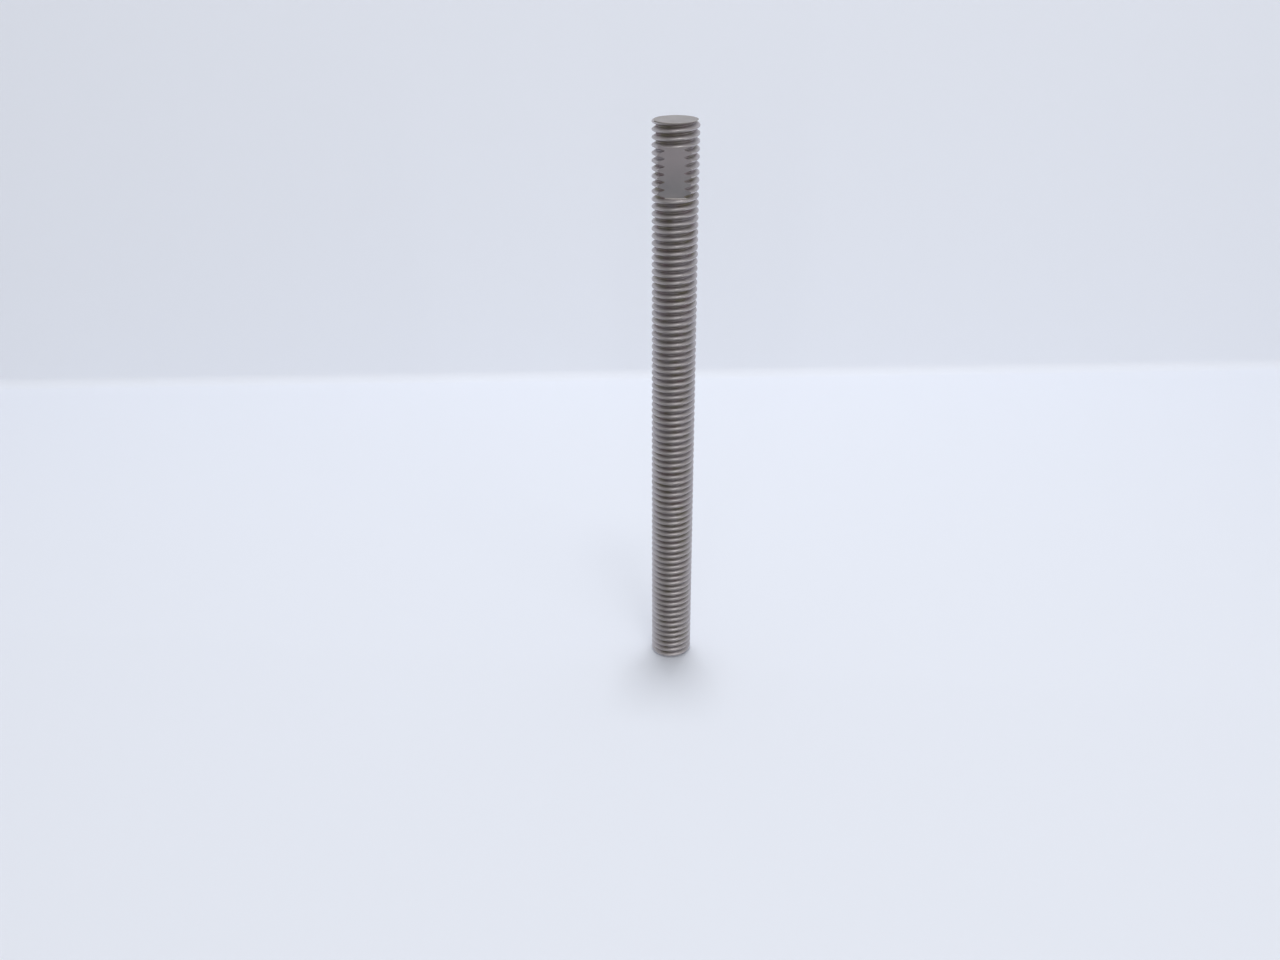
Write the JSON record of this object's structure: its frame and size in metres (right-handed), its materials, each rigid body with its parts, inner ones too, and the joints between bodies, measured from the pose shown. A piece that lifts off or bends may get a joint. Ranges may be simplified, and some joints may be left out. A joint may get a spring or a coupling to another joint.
{
  "type": "stud bolt",
  "caption": "Fully threaded steel stud bolt with a right-hand coarse V thread, flat, lightly chamfered ends, and a short milled flat near one end.",
  "frame": {"origin": "centre of the lower end face, the one far from the flat", "axes": "+Z along the stud's axis towards the end with the flat, -Y out of the flat"},
  "size_m": [0.0124, 0.0124, 0.1651],
  "materials": {
    "steel": "plain rolled thread, satin, with dull grooves"
  },
  "bodies": {
    "root": {"stud": "steel"}
  },
  "joints": []
}
